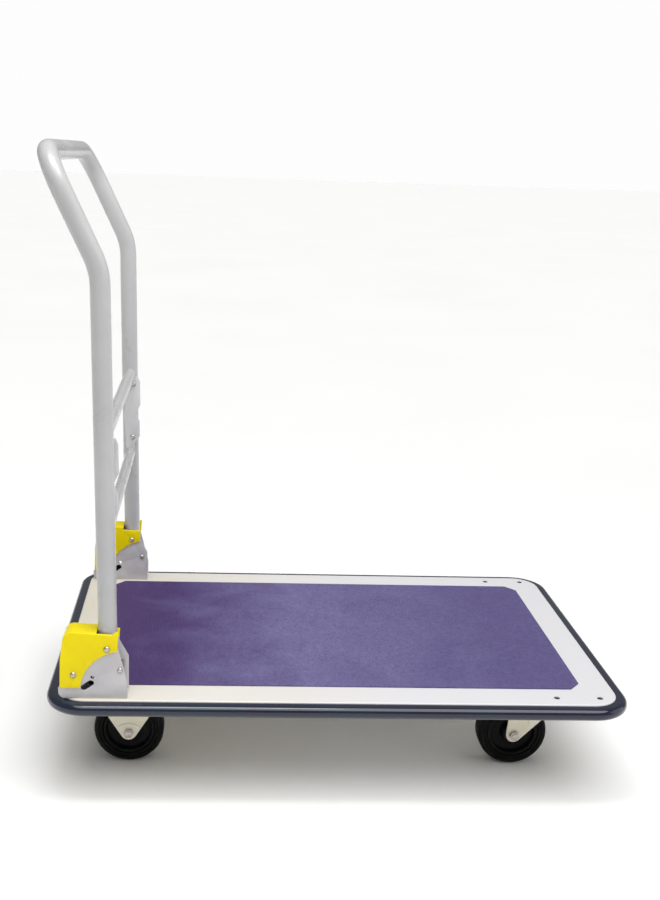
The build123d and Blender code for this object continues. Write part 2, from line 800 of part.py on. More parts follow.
def main():
    os.makedirs("parts", exist_ok=True)
    save("deck_tray", deck_tray())
    save("deck_bumper", deck_bumper())
    save("grip_mat", grip_mat())
    save("cross_channels", cross_channels())
    save("centre_ribs", centre_ribs())
    save_pair("hinge_bracket", hinge_bracket())
    save_pair("hinge_cover", hinge_cover())
    save("pivot_rivets", on_both_sides(single(pivot_rivet())))
    save("spacer_rivets", on_both_sides(single(spacer_rivet())))
    save("stop_rivets", on_both_sides(single(stop_rivet())))
    save("bracket_bolts", bracket_bolts())
    save("bracket_nuts", bracket_nuts())
    save_pair("lock_pin", lock_pin())
    save_pair("latch_spring", latch_spring())
    save("handle_tube", handle_tube())
    save("upper_crossbar", upper_crossbar())
    save("pivot_bushes", pivot_bushes())
    save_pair("release_plate", release_plate())
    save("release_bar", release_bar())
    save("push_rods", push_rods())
    save("rod_pins", rod_pins())
    save("return_springs", return_springs())
    save_pair("rigid_fork", rigid_fork())
    save("rigid_axles", [axle_bolt(rear_axle_x, side * wheel_y, side) for side in (-1, 1)])
    save("rigid_axle_nuts", [axle_nut(rear_axle_x, side * wheel_y, side) for side in (-1, 1)])
    save_pair("swivel_plate", swivel_plate())
    save("kingpins", on_both_sides(kingpin()))
    save("swivel_balls_left", swivel_balls())
    save("swivel_balls_right", [mirrored(ball) for ball in swivel_balls()])
    save_pair("swivel_fork", swivel_fork())
    save_pair("swivel_axle", axle_bolt(front_axle_x, wheel_y, 1))
    save_pair("swivel_axle_nut", axle_nut(front_axle_x, wheel_y, 1))
    save("caster_bolts", caster_bolts())
    save("caster_nuts", caster_nuts())
    for end, x in (("rear", rear_axle_x), ("front", front_axle_x)):
        for hand, side in (("left", 1), ("right", -1)):
            save(f"wheel_core_{end}_{hand}", wheel_core(x, side * wheel_y))
            save(f"tyre_{end}_{hand}", tyre(x, side * wheel_y))
            save(f"wheel_bush_{end}_{hand}", wheel_bush(x, side * wheel_y))


main()
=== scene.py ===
import bmesh
import bpy
import json
import math
from mathutils import Matrix, Vector


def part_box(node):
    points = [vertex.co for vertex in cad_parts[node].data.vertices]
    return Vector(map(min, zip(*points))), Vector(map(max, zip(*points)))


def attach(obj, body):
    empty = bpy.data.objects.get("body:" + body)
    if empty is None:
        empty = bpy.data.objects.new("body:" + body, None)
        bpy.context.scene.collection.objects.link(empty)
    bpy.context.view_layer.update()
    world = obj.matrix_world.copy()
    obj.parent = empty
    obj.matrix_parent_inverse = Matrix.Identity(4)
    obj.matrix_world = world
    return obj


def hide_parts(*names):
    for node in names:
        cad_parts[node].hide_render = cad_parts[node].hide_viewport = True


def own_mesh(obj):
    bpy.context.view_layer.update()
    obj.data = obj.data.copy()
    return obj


# Flatbed platform truck: cream pressed deck, navy bumper, violet vinyl mat, grey folding handle
# +X points away from the handle, +Z up; lengths in dictionaries are millimetres unless a note says so

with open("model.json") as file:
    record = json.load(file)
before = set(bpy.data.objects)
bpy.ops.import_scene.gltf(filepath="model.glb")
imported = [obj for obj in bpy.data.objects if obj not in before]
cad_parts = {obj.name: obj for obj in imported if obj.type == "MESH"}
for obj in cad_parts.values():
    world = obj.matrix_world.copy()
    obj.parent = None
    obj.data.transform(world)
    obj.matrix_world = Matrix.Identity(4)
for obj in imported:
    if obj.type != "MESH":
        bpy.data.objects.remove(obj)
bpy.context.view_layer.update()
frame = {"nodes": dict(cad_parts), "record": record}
nodes = frame["nodes"]
record = frame["record"]
mm = 0.001
bodyOf = {node: body for body, members in record["behaviour"]["bodies"].items() for node in members}
slotOf = {part["node"]: part["material_slot"] for part in record["subparts"]}
print("frame loaded with", len(nodes), "nodes")


# colour and node helpers


def hexColour(code):
    # sRGB hex to linear, with alpha
    channels = [int(code[at:at + 2], 16) / 255 for at in (1, 3, 5)]
    linear = [c / 12.92 if c <= 0.04045 else ((c + 0.055) / 1.055) ** 2.4 for c in channels]
    return (*linear, 1.0)


def addNode(tree, kind, inputs=None, stops=None, **settings):
    # one node: inputs take a constant or another node's output, stops are a ramp's places and colours
    node = tree.nodes.new(kind)
    for name, value in settings.items():
        setattr(node, name, value)
    if stops:
        marks = node.color_ramp.elements
        while len(marks) < len(stops):
            marks.new(0.5)
        for mark, (place, shade) in zip(marks, stops):
            mark.position = place
            mark.color = hexColour(shade) if isinstance(shade, str) else (shade, shade, shade, 1.0)
    for name, value in (inputs or {}).items():
        if isinstance(value, bpy.types.NodeSocket):
            tree.links.new(value, node.inputs[name])
        else:
            node.inputs[name].default_value = value
    return node


def perMetre(sizeInMm):
    # texture scale for a feature of this real size, because Object coordinates are in metres
    return 1.0 / (sizeInMm * mm)


def surfaceFinish(name, spec):
    # colour drifts between the spec's tones, a finer grain roughens it, and bump gives the surface its skin
    material = bpy.data.materials.new(name)
    material.use_nodes = True
    tree = material.node_tree
    shader = tree.nodes["Principled BSDF"]
    shader.inputs["Metallic"].default_value = spec.get("metallic", 0.0)
    shader.inputs["IOR"].default_value = spec.get("ior", 1.5)
    shader.inputs["Specular IOR Level"].default_value = spec.get("specular", 0.5)
    shader.inputs["Coat Weight"].default_value = spec.get("coat", 0.0)
    shader.inputs["Coat Roughness"].default_value = spec.get("coatRoughness", 0.1)
    shader.inputs["Subsurface Weight"].default_value = spec.get("subsurface", 0.0)
    shader.inputs["Subsurface Scale"].default_value = 2.0 * mm
    place = addNode(tree, "ShaderNodeTexCoord").outputs["Object"]
    drift = addNode(tree, "ShaderNodeTexNoise", {
        "Vector": place, "Scale": perMetre(spec["driftMm"]), "Detail": 3.0, "Roughness": 0.55})
    tones = addNode(tree, "ShaderNodeValToRGB", {"Fac": drift.outputs["Fac"]}, stops=[
        (0.3, spec["tones"][0]), (0.5, spec["tones"][1]), (0.7, spec["tones"][2])])
    base = tones.outputs["Color"]
    if "fade" in spec:
        # the tone goes over to another one along the truck, from the handle to the free end
        startMm, endMm, tint = spec["fade"]
        along = addNode(tree, "ShaderNodeMapRange", {
            "Value": addNode(tree, "ShaderNodeSeparateXYZ", {"Vector": place}).outputs["X"],
            "From Min": startMm * mm, "From Max": endMm * mm})
        base = addNode(tree, "ShaderNodeMix", {
            "Factor": along.outputs["Result"], "A": base, "B": hexColour(tint)},
            data_type="RGBA").outputs["Result"]
    grain = addNode(tree, "ShaderNodeTexNoise", {
        "Vector": place, "Scale": perMetre(spec["grainMm"]), "Detail": 4.0, "Roughness": 0.6})
    fleck = addNode(tree, "ShaderNodeValToRGB", {"Fac": grain.outputs["Fac"]}, stops=[
        (0.35, 1.0 - spec.get("fleck", 0.05)), (0.65, 1.0)])
    tinted = addNode(tree, "ShaderNodeMix", {
        "Factor": 1.0, "A": base, "B": fleck.outputs["Color"]},
        data_type="RGBA", blend_type="MULTIPLY")
    low, high = spec["roughness"]
    rubbed = addNode(tree, "ShaderNodeMapRange", {
        "Value": drift.outputs["Fac"], "From Min": 0.3, "From Max": 0.7, "To Min": low, "To Max": high})
    skin = addNode(tree, "ShaderNodeTexNoise", {
        "Vector": place, "Scale": perMetre(spec["skinMm"]), "Detail": 2.0, "Roughness": 0.5})
    bump = addNode(tree, "ShaderNodeBump", {
        "Strength": spec["bump"], "Distance": spec["skinDepthMm"] * mm, "Height": skin.outputs["Fac"]})
    tree.links.new(tinted.outputs["Result"], shader.inputs["Base Color"])
    tree.links.new(rubbed.outputs["Result"], shader.inputs["Roughness"])
    tree.links.new(bump.outputs["Normal"], shader.inputs["Normal"])
    return material


# finishes, one for each slot of the record

finishes = {
    # baked enamel over pressed sheet: satin cream, warmer in places, with a faint orange peel
    "deck_enamel": ("creamBakedEnamel", {
        "tones": ("#E0D9C8", "#E2DCCF", "#E3DFD6"), "driftMm": 260, "grainMm": 0.9, "fleck": 0.03,
        "fade": (-330, 120, "#DEDDE0"),
        "roughness": (0.26, 0.36), "skinMm": 1.6, "skinDepthMm": 0.05, "bump": 0.12, "coat": 0.2}),
    # the same enamel under the deck, sprayed thinner: duller, with a little dust
    "frame_enamel": ("creamUndersideEnamel", {
        "tones": ("#C9C3B2", "#D6D2C5", "#DCD9D0"), "driftMm": 60, "grainMm": 0.8, "fleck": 0.08,
        "roughness": (0.42, 0.58), "skinMm": 1.2, "skinDepthMm": 0.06, "bump": 0.2}),
    # extruded soft PVC: glossy navy, so the round edge carries a sharp highlight
    "bumper_pvc": ("navySoftPvc", {
        "tones": ("#13172C", "#181C34", "#122836"), "driftMm": 120, "grainMm": 0.7, "fleck": 0.1,
        "roughness": (0.07, 0.14), "skinMm": 6.0, "skinDepthMm": 0.03, "bump": 0.06, "ior": 1.53,
        "specular": 0.36, "coat": 0.5, "coatRoughness": 0.08}),
    # sprayed enamel on the pressed hinge brackets: cool light grey, satin
    "bracket_enamel": ("coolGreyBracketEnamel", {
        "tones": ("#C2BFC3", "#C9C7CA", "#D0CED0"), "driftMm": 35, "grainMm": 0.6, "fleck": 0.04,
        "roughness": (0.3, 0.42), "skinMm": 1.2, "skinDepthMm": 0.05, "bump": 0.15}),
    # injection-moulded polypropylene: bright yellow with a gloss and a soft edge
    "cover_plastic": ("yellowMouldedPolypropylene", {
        "tones": ("#F3DC00", "#F6E100", "#F9E500"), "driftMm": 45, "grainMm": 0.5, "fleck": 0.015,
        "roughness": (0.26, 0.34), "skinMm": 0.8, "skinDepthMm": 0.03, "bump": 0.1, "ior": 1.49,
        "specular": 0.2}),
    # bright zinc plate on rivets and bolts: pale metal with a fine spangle
    "zinc_plate": ("brightZincPlate", {
        "tones": ("#B4ACA8", "#C2BBB7", "#CFC9C6"), "driftMm": 4, "grainMm": 0.4, "fleck": 0.08,
        "roughness": (0.24, 0.4), "skinMm": 0.5, "skinDepthMm": 0.02, "bump": 0.15, "metallic": 1.0}),
    # yellowish passivated zinc on the caster forks: warm, half matte
    "fork_zinc": ("creamPassivatedZinc", {
        "tones": ("#EDE5C9", "#F1EBD5", "#F3EFE2"), "driftMm": 22, "grainMm": 0.6, "fleck": 0.1,
        "roughness": (0.34, 0.5), "skinMm": 0.7, "skinDepthMm": 0.03, "bump": 0.2, "metallic": 0.0,
        "coat": 0.3, "coatRoughness": 0.3}),
    # oil-blackened steel: near black, low sheen
    "black_oxide": ("blackenedSteel", {
        "tones": ("#202124", "#292A2D", "#333438"), "driftMm": 6, "grainMm": 0.5, "fleck": 0.15,
        "roughness": (0.35, 0.5), "skinMm": 0.5, "skinDepthMm": 0.03, "bump": 0.2, "metallic": 1.0}),
    # hard-drawn spring wire: blue-grey metal
    "spring_steel": ("hardDrawnSpringWire", {
        "tones": ("#7A7D82", "#888B90", "#96999E"), "driftMm": 5, "grainMm": 0.4, "fleck": 0.1,
        "roughness": (0.28, 0.4), "skinMm": 0.4, "skinDepthMm": 0.02, "bump": 0.15, "metallic": 1.0}),
    # powder coat on the handle tube: satin light grey with a fine even pebble
    "handle_powder": ("lightGreyPowderCoat", {
        "tones": ("#B6B6B6", "#BBBBBC", "#C1C1C1"), "driftMm": 90, "grainMm": 0.7, "fleck": 0.05,
        "roughness": (0.26, 0.34), "skinMm": 1.1, "skinDepthMm": 0.05, "bump": 0.2, "coat": 0.35,
        "coatRoughness": 0.18}),
    # enamel on the release gear: light grey, set paler than the handle tube's powder coat, satin
    "release_enamel": ("paleGreyReleaseEnamel", {
        "tones": ("#D0D0D1", "#D7D7D8", "#DDDDDD"), "driftMm": 40, "grainMm": 0.7, "fleck": 0.07,
        "roughness": (0.3, 0.42), "skinMm": 1.0, "skinDepthMm": 0.05, "bump": 0.2}),
    # natural nylon bushes: waxy off-white
    "bush_nylon": ("naturalNylon", {
        "tones": ("#DAD6CA", "#E2DFD5", "#E8E5DD"), "driftMm": 10, "grainMm": 0.5, "fleck": 0.04,
        "roughness": (0.4, 0.5), "skinMm": 0.8, "skinDepthMm": 0.03, "bump": 0.15, "subsurface": 0.1}),
    # glass-filled nylon wheel centres: charcoal with a dull moulded skin
    "core_nylon": ("charcoalGlassNylon", {
        "tones": ("#060607", "#09090A", "#0E0E0F"), "driftMm": 12, "grainMm": 0.6, "fleck": 0.15,
        "roughness": (0.45, 0.56), "skinMm": 0.9, "skinDepthMm": 0.04, "bump": 0.2, "ior": 1.53,
        "specular": 0.14}),
    # solid rubber tyres: black, with a dusty bloom that lifts the sheen a little
    "tyre_rubber": ("blackSolidRubber", {
        "tones": ("#050505", "#080807", "#0C0C0B"), "driftMm": 14, "grainMm": 0.8, "fleck": 0.2,
        "roughness": (0.5, 0.66), "skinMm": 0.9, "skinDepthMm": 0.06, "bump": 0.3, "ior": 1.52,
        "specular": 0.14}),
}
materials = {slotName: surfaceFinish(*finish) for slotName, finish in finishes.items()}


matVinylLook = {
    # tones from the handle end over the middle to the free end; spread is how far the patches shift them
    "patchMm": 90, "veinMm": 6.0, "tones": ("#47306C", "#716A9A", "#5F5589"), "spread": 0.5,
    "roughness": (0.4, 0.55), "pebbleMm": 1.1, "pebbleDepthMm": 0.15, "bump": 0.25}


def vinylMaterial(look):
    # calendered vinyl with an embossed grip: violet that turns bluer in patches, with paler rubbed tips
    material = bpy.data.materials.new("embossedVioletVinyl")
    material.use_nodes = True
    tree = material.node_tree
    shader = tree.nodes["Principled BSDF"]
    shader.inputs["IOR"].default_value = 1.5
    place = addNode(tree, "ShaderNodeTexCoord").outputs["Object"]
    patches = addNode(tree, "ShaderNodeTexNoise", {
        "Vector": place, "Scale": perMetre(look["patchMm"]), "Detail": 2.0, "Distortion": 0.4})
    matLow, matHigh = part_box("grip_mat")
    along = addNode(tree, "ShaderNodeMapRange", {
        "Value": addNode(tree, "ShaderNodeSeparateXYZ", {"Vector": place}).outputs["X"],
        "From Min": matLow.x, "From Max": matHigh.x})
    shifted = addNode(tree, "ShaderNodeMapRange", {
        "Value": patches.outputs["Fac"], "To Min": -look["spread"] / 2, "To Max": look["spread"] / 2})
    where = addNode(tree, "ShaderNodeMath", {0: along.outputs["Result"], 1: shifted.outputs["Result"]})
    tones = addNode(tree, "ShaderNodeValToRGB", {"Fac": where.outputs["Value"]}, stops=[
        (0.08, look["tones"][0]), (0.45, look["tones"][1]), (0.85, look["tones"][2])])
    veins = addNode(tree, "ShaderNodeTexNoise", {
        "Vector": place, "Scale": perMetre(look["veinMm"]), "Detail": 5.0, "Roughness": 0.7,
        "Distortion": 1.2})
    speck = addNode(tree, "ShaderNodeValToRGB", {"Fac": veins.outputs["Fac"]}, stops=[
        (0.36, 0.62), (0.64, 1.0)])
    tinted = addNode(tree, "ShaderNodeMix", {
        "Factor": 1.0, "A": tones.outputs["Color"], "B": speck.outputs["Color"]},
        data_type="RGBA", blend_type="MULTIPLY")
    rubbed = addNode(tree, "ShaderNodeMapRange", {
        "Value": veins.outputs["Fac"], "To Min": look["roughness"][0], "To Max": look["roughness"][1]})
    fine = addNode(tree, "ShaderNodeTexVoronoi", {"Vector": place, "Scale": perMetre(look["pebbleMm"])})
    bump = addNode(tree, "ShaderNodeBump", {
        "Strength": look["bump"], "Distance": look["pebbleDepthMm"] * mm, "Height": fine.outputs["Distance"]})
    tree.links.new(tinted.outputs["Result"], shader.inputs["Base Color"])
    tree.links.new(rubbed.outputs["Result"], shader.inputs["Roughness"])
    tree.links.new(bump.outputs["Normal"], shader.inputs["Normal"])
    return material


materials["mat_vinyl"] = vinylMaterial(matVinylLook)
for nodeName, part in nodes.items():
    part.data.materials.clear()
    part.data.materials.append(materials[slotOf[nodeName]])
print("materials made:", len(materials))


# mesh helpers


def middleOf(node):
    low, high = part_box(node)
    return (low + high) / 2


def finishPiece(name, bm, node, slotName=None, smoothAngle=35.0, body=None, replaced=()):
    # turns a bmesh into a piece that rides with the node's body and takes its slot's finish
    bmesh.ops.remove_doubles(bm, verts=bm.verts, dist=0.001 * mm)
    bmesh.ops.recalc_face_normals(bm, faces=bm.faces)
    mesh = bpy.data.meshes.new(name)
    bm.to_mesh(mesh)
    bm.free()
    for face in mesh.polygons:
        face.use_smooth = True
    mesh.set_sharp_from_angle(angle=math.radians(smoothAngle))
    chosen = slotName or slotOf[node]
    mesh.materials.append(materials[chosen])
    piece = bpy.data.objects.new(name, mesh)
    bpy.context.scene.collection.objects.link(piece)
    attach(piece, body or bodyOf[node])
    if replaced:
        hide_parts(*replaced)
    return piece


def spinRing(bm, profile, centre, steps):
    # spins a closed profile about the wheel axis through centre; its points are (across, radius), in mm
    corners = [bm.verts.new(centre + Vector((0, across * mm, radius * mm))) for across, radius in profile]
    rim = [bm.edges.new((corners[at - 1], corners[at])) for at in range(len(corners))]
    bmesh.ops.spin(bm, geom=corners + rim, cent=centre, axis=(0, 1, 0), angle=2 * math.pi, steps=steps,
                   use_merge=True)


def mirroredProfile(half):
    # a wheel section from its right half, listed from the bore outwards
    return half + [(-across, radius) for across, radius in reversed(half)]


def easedEdges(bm, width, sharpAngle, segments=2):
    # rounds every edge that turns by more than sharpAngle degrees
    limit = math.radians(sharpAngle)
    sharp = [edge for edge in bm.edges if len(edge.link_faces) == 2 and edge.calc_face_angle() > limit]
    bmesh.ops.bevel(bm, geom=sharp, offset=width * mm, offset_type="OFFSET", segments=segments, profile=0.5,
                    affect="EDGES", clamp_overlap=False, material=-1)


# CAD pieces carried over with eased edges

easedPieces = {
    "hinge_cover_left": 0.55, "hinge_cover_right": 0.55,
    "hinge_bracket_left": 0.3, "hinge_bracket_right": 0.3,
    "pivot_rivets": 0.4, "spacer_rivets": 0.4, "stop_rivets": 0.35, "rod_pins": 0.4,
    "release_plate_left": 0.3, "release_plate_right": 0.3,
    "bracket_bolts": 0.35, "bracket_nuts": 0.35, "caster_bolts": 0.35, "caster_nuts": 0.35,
    "rigid_axle_nuts": 0.45, "swivel_axle_nut_left": 0.45, "swivel_axle_nut_right": 0.45,
    "rigid_axles": 0.35, "swivel_axle_left": 0.35, "swivel_axle_right": 0.35,
    "lock_pin_left": 0.3, "lock_pin_right": 0.3, "kingpins": 0.5,
    "swivel_plate_left": 0.35, "swivel_plate_right": 0.35,
}


def mergedMesh(node):
    # the CAD's triangles are loose, so they are joined before anything is shaped or shaded
    bm = bmesh.new()
    bm.from_mesh(nodes[node].data)
    bmesh.ops.remove_doubles(bm, verts=bm.verts, dist=0.002 * mm)
    return bm


def easedMesh(node, width):
    bm = mergedMesh(node)
    bmesh.ops.dissolve_limit(bm, angle_limit=math.radians(0.5), verts=bm.verts, edges=bm.edges)
    easedEdges(bm, width, 32)
    bmesh.ops.triangulate(bm, faces=[face for face in bm.faces if len(face.verts) > 4])
    return bm


def easedCopy(node, width):
    return finishPiece(node + ".eased", easedMesh(node, width), node, replaced=[node])


for node, width in easedPieces.items():
    easedCopy(node, width)
print("eased pieces:", len(easedPieces))

# pieces that keep their exact shape and only need even shading over their curves
smoothPieces = ("handle_tube", "deck_tray", "deck_bumper", "cross_channels", "centre_ribs")
for node in smoothPieces:
    finishPiece(node + ".smooth", mergedMesh(node), node, smoothAngle=28.0, replaced=[node])
print("smoothed pieces:", len(smoothPieces))


# embossed grip mat

gripMat = {"pitchMm": 3.4, "embossMm": 0.45, "rimMm": 3.0, "chamferX": 15.5, "chamferY": 17.5}


def buildGripMat(spec):
    low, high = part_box("grip_mat")
    size = high - low
    middle = (low + high) / 2
    bm = bmesh.new()
    columns = round(size.x / (spec["pitchMm"] * mm))
    rows = round(size.y / (spec["pitchMm"] * mm))
    bmesh.ops.create_grid(bm, x_segments=columns, y_segments=rows, size=0.5)
    bmesh.ops.scale(bm, verts=bm.verts, vec=(size.x, size.y, 1))
    bmesh.ops.translate(bm, verts=bm.verts, vec=(middle.x, middle.y, high.z - spec["embossMm"] * mm))
    # the corners are cut off at a slant
    for sideX in (-1, 1):
        for sideY in (-1, 1):
            corner = Vector((middle.x + sideX * size.x / 2, middle.y + sideY * size.y / 2, high.z))
            normal = Vector((sideX * spec["chamferY"], sideY * spec["chamferX"], 0)).normalized()
            onCut = corner - Vector((sideX * spec["chamferX"] * mm, 0, 0))
            bmesh.ops.bisect_plane(bm, geom=bm.verts[:] + bm.edges[:] + bm.faces[:], plane_co=onCut,
                                   plane_no=normal, clear_outer=True)
    inner = []
    for face in bm.faces:
        reach = face.calc_center_median() - middle
        insideX = abs(reach.x) < size.x / 2 - spec["rimMm"] * mm
        insideY = abs(reach.y) < size.y / 2 - spec["rimMm"] * mm
        if insideX and insideY and len(face.verts) == 4:
            inner.append(face)
    # each cell of the emboss is a low pyramid
    bmesh.ops.poke(bm, faces=inner, offset=spec["embossMm"] * mm, center_mode="MEAN")
    outline = [edge for edge in bm.edges if edge.is_boundary]
    walls = bmesh.ops.extrude_edge_only(bm, edges=outline)
    lowered = [item for item in walls["geom"] if isinstance(item, bmesh.types.BMVert)]
    for vertex in lowered:
        vertex.co.z = low.z
    rim = [edge for edge in bm.edges if edge.is_boundary]
    bmesh.ops.contextual_create(bm, geom=rim)
    return finishPiece("grip_mat.embossed", bm, "grip_mat", smoothAngle=4.0, replaced=["grip_mat"])


buildGripMat(gripMat)
print("grip mat embossed")


# wheels: moulded tyre with a raised side ring, and a dished centre

tyreShape = {
    # right half of the section, across and radius, for a wheel of 50 mm radius
    "half": [(12.6, 36.9), (14.2, 37.9), (14.8, 38.9), (14.8, 40.2), (13.7, 40.9), (13.7, 42.3), (14.9, 42.9),
             (14.9, 45.3), (14.0, 47.6), (11.8, 49.3), (9.0, 49.9), (0.0, 50.0)],
    "steps": 96, "easeMm": 0.35}
coreShape = {
    "half": [(16.1, 8.1), (16.1, 13.2), (15.2, 14.0), (5.2, 17.0), (4.5, 18.6), (4.5, 29.4), (5.4, 31.2),
             (12.2, 32.2), (13.2, 33.0), (13.2, 36.0), (12.4, 36.8)],
    "steps": 72, "easeMm": 0.3}


def buildTyre(node, shape):
    bm = bmesh.new()
    half = shape["half"][:-1]
    crown = [shape["half"][-1]]
    profile = half + crown + [(-across, radius) for across, radius in reversed(half)]
    spinRing(bm, profile, middleOf(node), shape["steps"])
    easedEdges(bm, shape["easeMm"], 22)
    return finishPiece(node + ".moulded", bm, node, smoothAngle=40.0, replaced=[node])


def buildCore(node, shape):
    centre = middleOf(node)
    bm = bmesh.new()
    spinRing(bm, mirroredProfile(shape["half"]), centre, shape["steps"])
    easedEdges(bm, shape["easeMm"], 30)
    return finishPiece(node + ".dished", bm, node, smoothAngle=30.0, replaced=[node])


for end in ("rear", "front"):
    for hand in ("left", "right"):
        buildTyre(f"tyre_{end}_{hand}", tyreShape)
        buildCore(f"wheel_core_{end}_{hand}", coreShape)
print("wheels built")


# caster forks with pressed legs

rigidForkShape = {
    # the boss pressed into each leg: an arched top edge over the axle, then the round foot
    "fork": 0.4, "easeMm": 0.35, "legOuter": 21.0, "sunk": 0.5, "proud": 1.6, "footRadius": 11.4,
    "footStart": -160.0, "footTurn": 140.0,
    "archRadius": 24.3, "archDrop": 10.3, "archHalf": 16.0, "archSteps": 16}
swivelForkShape = {
    # the raised front panel of each leg, right of the vertical crease; points from the axle
    "fork": 0.4, "easeMm": 0.25, "legOuter": 21.0, "sunk": 0.5, "proud": 1.0,
    "panel": ((20.0, 13.0), (36.5, 24.6), (49.5, 45.4), (49.5, 57.0), (20.0, 57.0))}


def addPlate(bm, outline, centre, side, shape):
    # a thin plate with a rounded edge that stands proud of a fork leg
    draft = bmesh.new()
    inner = shape["legOuter"] - shape["sunk"]
    corners = [draft.verts.new((x * mm, side * inner * mm, z * mm)) for x, z in outline]
    face = draft.faces.new(corners)
    pulled = bmesh.ops.extrude_face_region(draft, geom=[face])["geom"]
    lifted = [item for item in pulled if isinstance(item, bmesh.types.BMVert)]
    bmesh.ops.translate(draft, verts=lifted, vec=(0, side * (shape["sunk"] + shape["proud"]) * mm, 0))
    bmesh.ops.recalc_face_normals(draft, faces=draft.faces)
    outer = set(lifted)
    rim = [edge for edge in draft.edges if edge.verts[0] in outer and edge.verts[1] in outer]
    bmesh.ops.bevel(draft, geom=rim, offset=shape["easeMm"] * mm, segments=3, profile=0.5, affect="EDGES",
                    material=-1)
    bmesh.ops.translate(draft, verts=draft.verts, vec=centre)
    held = bpy.data.meshes.new("plateDraft")
    draft.to_mesh(held)
    draft.free()
    bm.from_mesh(held)
    bpy.data.meshes.remove(held)


def bossOutline(shape):
    # arch from right to left, then round the foot of the leg
    archRadius = shape["archRadius"]
    swing = math.asin(shape["archHalf"] / archRadius)
    arch = []
    for step in range(shape["archSteps"] + 1):
        turn = swing * (1 - 2 * step / shape["archSteps"])
        arch.append((archRadius * math.sin(turn), archRadius * math.cos(turn) - shape["archDrop"]))
    foot = []
    for step in range(shape["archSteps"] + 1):
        turn = math.radians(shape["footStart"] + shape["footTurn"] * step / shape["archSteps"])
        foot.append((shape["footRadius"] * math.cos(turn), shape["footRadius"] * math.sin(turn)))
    return arch + foot


def buildFork(node, wheelNode, outline, shape):
    bm = easedMesh(node, shape["fork"])
    axle = middleOf(wheelNode)
    for side in (-1, 1):
        addPlate(bm, outline, axle, side, shape)
    return finishPiece(node + ".pressed", bm, node, replaced=[node])


for hand in ("left", "right"):
    buildFork(f"rigid_fork_{hand}", f"tyre_rear_{hand}", bossOutline(rigidForkShape), rigidForkShape)
    buildFork(f"swivel_fork_{hand}", f"tyre_front_{hand}", swivelForkShape["panel"], swivelForkShape)
print("forks built")


# coil springs in place of the plain sleeves

springShape = {"wireMm": 1.1, "turnMm": 2.3, "stepsPerTurn": 20, "wireSides": 8}


def addCoil(bm, low, high, radius, spec):
    # a round wire wound from low to high, with closed ends
    length = (high - low).length
    wire = spec["wireMm"] / 2 * mm
    turns = (length - 2 * wire) / (spec["turnMm"] * mm)
    axis = (high - low).normalized()
    start = low + axis * wire
    section = bmesh.ops.create_circle(bm, radius=wire, segments=spec["wireSides"], cap_ends=True)["verts"]
    across = axis.orthogonal().normalized()
    # the wire's section stands square to the winding direction
    facing = Matrix((across, axis, across.cross(axis))).transposed()
    bmesh.ops.rotate(bm, verts=section, cent=(0, 0, 0), matrix=facing)
    bmesh.ops.translate(bm, verts=section, vec=start + across * (radius - wire))
    cap = section[0].link_faces[0]
    steps = round(turns * spec["stepsPerTurn"])
    bmesh.ops.spin(bm, geom=[cap], cent=start, axis=axis, dvec=axis * (length - 2 * wire) / steps,
                   angle=turns * 2 * math.pi, steps=steps, use_duplicate=False)


for hand in ("left", "right"):
    node = f"latch_spring_{hand}"
    bm = bmesh.new()
    low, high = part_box(node)
    middle = (low + high) / 2
    addCoil(bm, Vector((middle.x, middle.y, low.z)), Vector((middle.x, middle.y, high.z)),
            (high.x - low.x) / 2, springShape)
    coil = finishPiece(node + ".coil", bm, node, smoothAngle=60.0, replaced=[node])
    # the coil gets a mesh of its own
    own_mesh(coil)
print("springs wound")


# weld beads where the bars meet the legs and the release plates

weldShape = {"beadMm": 1.5, "sides": 10, "steps": 48, "rippleMm": 0.18, "ripples": 22, "tubeRadius": 12.7}


def addBead(bm, centre, barRadius, side, spec, tubeOffset=0.0):
    # a rippled ring round the bar's end; with a tube offset it is bent to the tube's round wall
    bead = spec["beadMm"] * mm
    ring = bmesh.ops.create_circle(bm, radius=bead, segments=spec["sides"])["verts"]
    bmesh.ops.rotate(bm, verts=ring, cent=(0, 0, 0), matrix=Matrix.Rotation(math.pi / 2, 3, "Y"))
    bmesh.ops.translate(bm, verts=ring, vec=centre + Vector((0, 0, barRadius)))
    known = set(bm.verts) - set(ring)
    edges = list({edge for vertex in ring for edge in vertex.link_edges})
    bmesh.ops.spin(bm, geom=list(ring) + edges, cent=centre, axis=(0, 1, 0), angle=2 * math.pi,
                   steps=spec["steps"], use_merge=True)
    for vertex in set(bm.verts) - known:
        away = vertex.co - centre
        wave = math.sin(math.atan2(away.x, away.z) * spec["ripples"])
        vertex.co += Vector((away.x, 0, away.z)).normalized() * wave * spec["rippleMm"] * mm
        if tubeOffset:
            wall = math.sqrt(max(tubeOffset ** 2 - away.x ** 2, 0))
            vertex.co.y += side * (tubeOffset - wall)


def addBar(bm, low, high, radius, tubeOffset):
    # the bar itself; on a tube its ends are cut to the tube's round wall
    dip = tubeOffset - math.sqrt(tubeOffset ** 2 - radius ** 2) if tubeOffset else 0.0
    middle = (low + high) / 2
    length = high.y - low.y - 2 * dip
    bar = bmesh.ops.create_cone(bm, cap_ends=True, segments=64, radius1=radius, radius2=radius,
                                depth=length)["verts"]
    bmesh.ops.rotate(bm, verts=bar, cent=(0, 0, 0), matrix=Matrix.Rotation(math.pi / 2, 3, "X"))
    bmesh.ops.translate(bm, verts=bar, vec=middle)
    if tubeOffset:
        for vertex in bar:
            across = vertex.co.x - middle.x
            dent = tubeOffset - math.sqrt(tubeOffset ** 2 - across ** 2)
            vertex.co.y += math.copysign(dent, vertex.co.y - middle.y)


